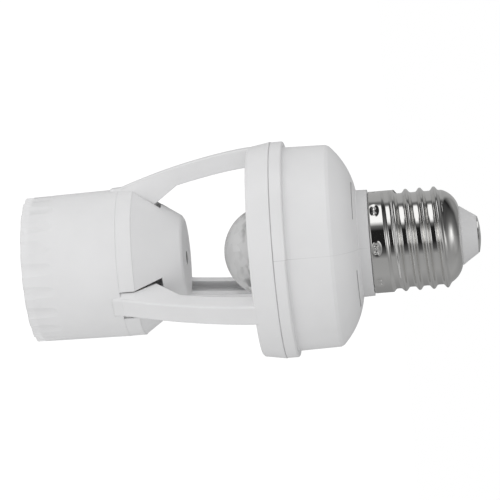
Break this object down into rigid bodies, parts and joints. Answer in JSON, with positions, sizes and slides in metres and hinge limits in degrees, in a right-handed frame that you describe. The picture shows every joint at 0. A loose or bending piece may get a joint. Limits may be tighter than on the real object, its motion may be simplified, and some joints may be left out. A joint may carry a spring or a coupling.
{
  "type": "motion sensor lamp holder",
  "caption": "Screw-cap lamp holder with a round motion sensor housing and a lamp socket carried below it on arms.",
  "frame": {"origin": "centre of the lamp socket's open mouth, at the plane of its rim", "axes": "+Z along the common axis, from the lamp socket's mouth to the tip of the screw cap; -X through the middle of one arm"},
  "size_m": [0.0564, 0.0564, 0.1169],
  "materials": {
    "white_plastic": "fine satin moulding",
    "nickel": "bright nickel plate",
    "contact_metal": "tinned",
    "lens_plastic": "milky, translucent",
    "board_green": "solder mask",
    "steel": "zinc plate",
    "brass": "bare",
    "black_plastic": "moulded",
    "amber_plastic": "moulded",
    "insert_plastic": "moulded",
    "white_wire": "insulation",
    "red_wire": "insulation"
  },
  "bodies": {
    "holder": {"arm_frame": "white_plastic", "socket_rear_cap": "white_plastic", "rear_cap_screw": "steel", "socket_insert": "insert_plastic", "lamp_screw_shell": "nickel", "contact_rivet": "brass", "shell_rivet": "brass", "rear_housing": "white_plastic", "cap_shell": "nickel", "cap_contact": "contact_metal", "lens_dome": "lens_plastic", "lens_retainer": "white_plastic", "circuit_board": "board_green", "board_screws": "steel", "pir_sensor": "steel", "light_sensor": "amber_plastic", "control_chip": "black_plastic", "switch_relay": "black_plastic", "smoothing_capacitor": "black_plastic", "film_capacitor": "amber_plastic", "rectifier_diodes": "black_plastic", "resistors": "black_plastic", "live_wire_in": "red_wire", "neutral_wire_in": "white_wire", "lamp_live_wire": "white_wire", "lamp_neutral_wire": "white_wire"},
    "contact_tongue": {"centre_contact": "brass"}
  },
  "joints": [
    {"name": "centre_contact_bend", "type": "hinge", "parent": "holder", "child": "contact_tongue", "pos_m": [-0.0085, 0, 0.02535], "axis": [0, -1, 0], "range_deg": [0, 11], "stiffness_Nm_per_rad": 0.12}
  ]
}
